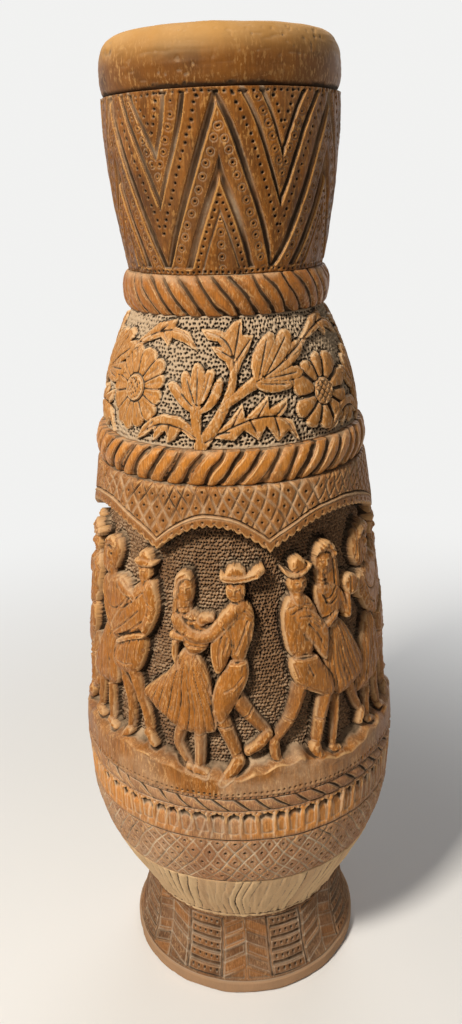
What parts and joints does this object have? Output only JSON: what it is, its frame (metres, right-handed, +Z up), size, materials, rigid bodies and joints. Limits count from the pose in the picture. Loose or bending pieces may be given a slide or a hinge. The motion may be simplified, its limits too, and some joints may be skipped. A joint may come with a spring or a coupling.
{
  "type": "carved wooden floor vase",
  "caption": "Tall carved wooden floor vase in stacked turned sections, with rope mouldings, a flower band, a frieze of dancers and an open mouth.",
  "frame": {"origin": "centre of the sole, on the floor", "axes": "+Z up along the turning axis; the side that the picture shows faces -Y"},
  "size_m": [0.267, 0.267, 0.76],
  "materials": {
    "foot_wood": "greyed carved wood, worn oil finish",
    "plug_wood": "bare turned wood",
    "bowl_wood": "carved wood, dry oil finish",
    "carved_wood": "carved and punched wood, polished high points and dusty recesses",
    "rope_wood": "carved wood, polished",
    "rim_wood": "smooth wood, satin polish"
  },
  "bodies": {
    "root": {"foot": "foot_wood", "base_plug": "plug_wood", "lower_bowl": "bowl_wood", "figure_section": "carved_wood", "middle_rope_ring": "rope_wood", "flower_section": "carved_wood", "upper_rope_ring": "rope_wood", "neck_section": "carved_wood", "rim_ring": "rim_wood"}
  },
  "joints": []
}
